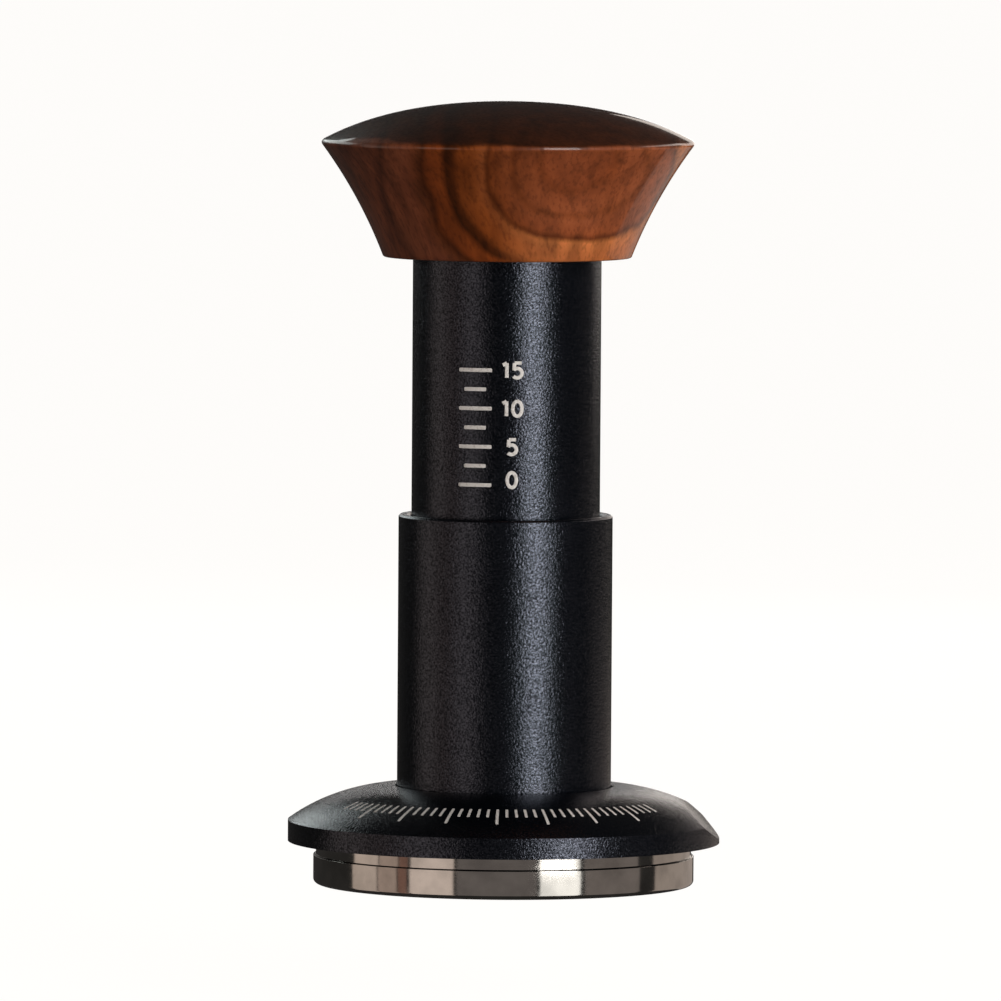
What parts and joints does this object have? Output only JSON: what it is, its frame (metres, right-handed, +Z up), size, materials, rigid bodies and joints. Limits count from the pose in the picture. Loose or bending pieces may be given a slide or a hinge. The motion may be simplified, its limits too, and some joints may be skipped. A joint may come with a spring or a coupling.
{
  "type": "espresso tamper",
  "caption": "Self-levelling espresso tamper with a wooden knob, a telescoping handle with a sprung impact trip, and a flat steel base.",
  "frame": {"origin": "centre of the base's tamping face, on the surface that the tamper stands on", "axes": "+Z up along the handle; the handle's scale faces -Y and the flat on the skirt faces +X"},
  "size_m": [0.0662, 0.0662, 0.12],
  "materials": {
    "oiled_wood": "satin, oiled",
    "black_coat": "fine-textured powder coat",
    "polished_steel": "polished stainless steel",
    "turned_steel": "fine turned",
    "hard_steel": "hardened and tempered",
    "spring_steel": "drawn wire",
    "black_steel": "black oxide",
    "bronze": "machined",
    "brass": "machined",
    "guide_plastic": "moulded"
  },
  "bodies": {
    "sleeve": {"levelling_skirt": "black_coat", "lower_sleeve": "black_coat", "shaft_bush": "bronze", "upper_guide_ring": "guide_plastic", "skirt_screw_1": "black_steel", "skirt_screw_2": "black_steel", "skirt_screw_3": "black_steel"},
    "turning_washer": {"retract_washer": "turned_steel", "retract_spring": "spring_steel"},
    "plunger": {"tamping_base": "polished_steel", "base_grub_screw": "black_steel", "anvil_shaft": "turned_steel", "spring_collar": "turned_steel", "collar_clip": "spring_steel", "return_spring": "spring_steel"},
    "handle": {"upper_tube": "black_coat", "lower_guide_ring": "guide_plastic", "end_ring": "turned_steel", "seat_ring": "hard_steel", "cam_liner": "hard_steel", "main_spring": "spring_steel", "spring_cap": "turned_steel", "tube_cap": "turned_steel", "preload_screw": "black_steel", "knob_insert": "brass", "knob": "oiled_wood"},
    "striker": {"striker": "hard_steel"},
    "trip": {"trip_block": "hard_steel", "trip_spring": "spring_steel"}
  },
  "joints": [
    {"name": "handle_turn", "type": "hinge", "parent": "sleeve", "child": "turning_washer", "pos_m": [0, 0, 0.0155], "axis": [0, 0, 1], "continuous": true},
    {"name": "base_travel", "type": "slide", "parent": "turning_washer", "child": "plunger", "axis": [0, 0, -1], "range_m": [0, 0.0175], "stiffness_N_per_m": 250, "springref_m": -0.02, "deforming": ["retract_spring"]},
    {"name": "handle_press", "type": "slide", "parent": "plunger", "child": "handle", "axis": [0, 0, -1], "range_m": [0, 0.0052], "stiffness_N_per_m": 5000, "springref_m": -0.004, "deforming": ["return_spring"]},
    {"name": "striker_rise", "type": "slide", "parent": "handle", "child": "striker", "axis": [0, 0, 1], "range_m": [0, 0.0052], "deforming": ["main_spring"]},
    {"name": "trip_shift", "type": "slide", "parent": "striker", "child": "trip", "axis": [-1, 0, 0], "range_m": [0, 0.0012], "deforming": ["trip_spring"]}
  ],
  "couplings": [
    {"joint": "striker_rise", "follows": "handle_press", "ratio": 1},
    {"joint": "trip_shift", "follows": "handle_press", "ratio": 0.23077}
  ]
}
